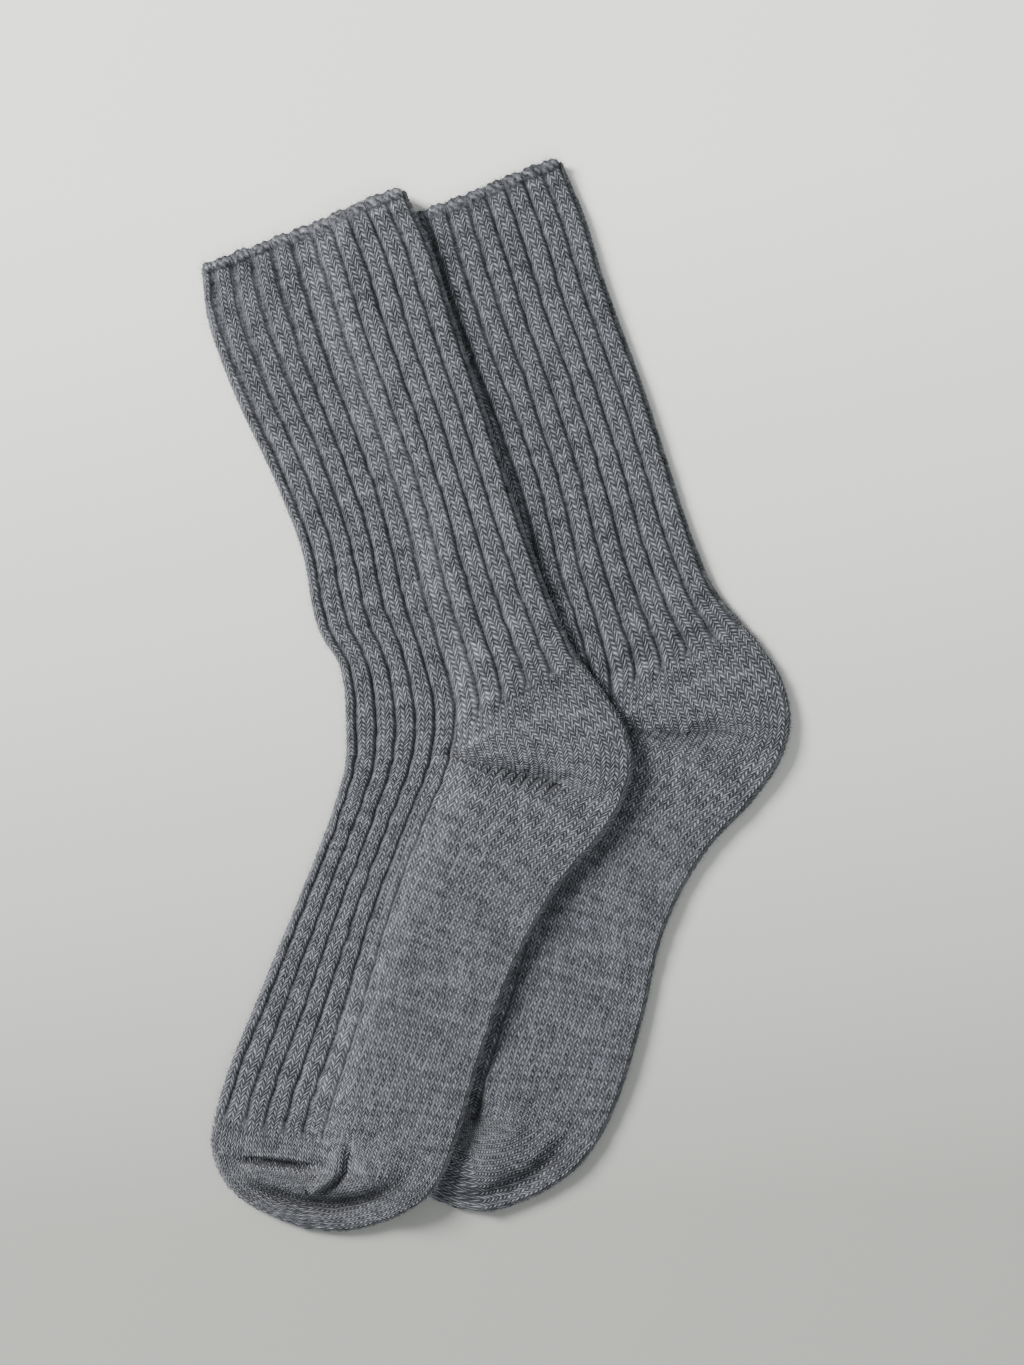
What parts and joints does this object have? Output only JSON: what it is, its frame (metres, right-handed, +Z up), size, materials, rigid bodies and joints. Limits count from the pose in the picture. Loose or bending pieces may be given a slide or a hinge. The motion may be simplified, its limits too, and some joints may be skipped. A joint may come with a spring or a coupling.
{
  "type": "pair of socks",
  "caption": "Pair of ribbed knitted crew socks laid flat in profile, one lying over the edge of the other, with plain heels, soles and closed toes.",
  "frame": {"origin": "centre of the pair's outline on the surface that it lies on", "axes": "+X across the pair from the upper sock's toe towards the lower sock's heel, +Y from the toes towards the cuffs, +Z up from the surface"},
  "size_m": [0.2185, 0.3981, 0.0126],
  "materials": {
    "upper_knit": "matt grey melange knit, two-wale ribs on leg and instep, plain stitch on heel, sole and toe",
    "lower_knit": "matt grey melange knit, two-wale ribs on leg and instep, plain stitch on heel, sole and toe"
  },
  "bodies": {
    "root": {"upper_sock": "upper_knit", "lower_sock": "lower_knit"}
  },
  "joints": []
}
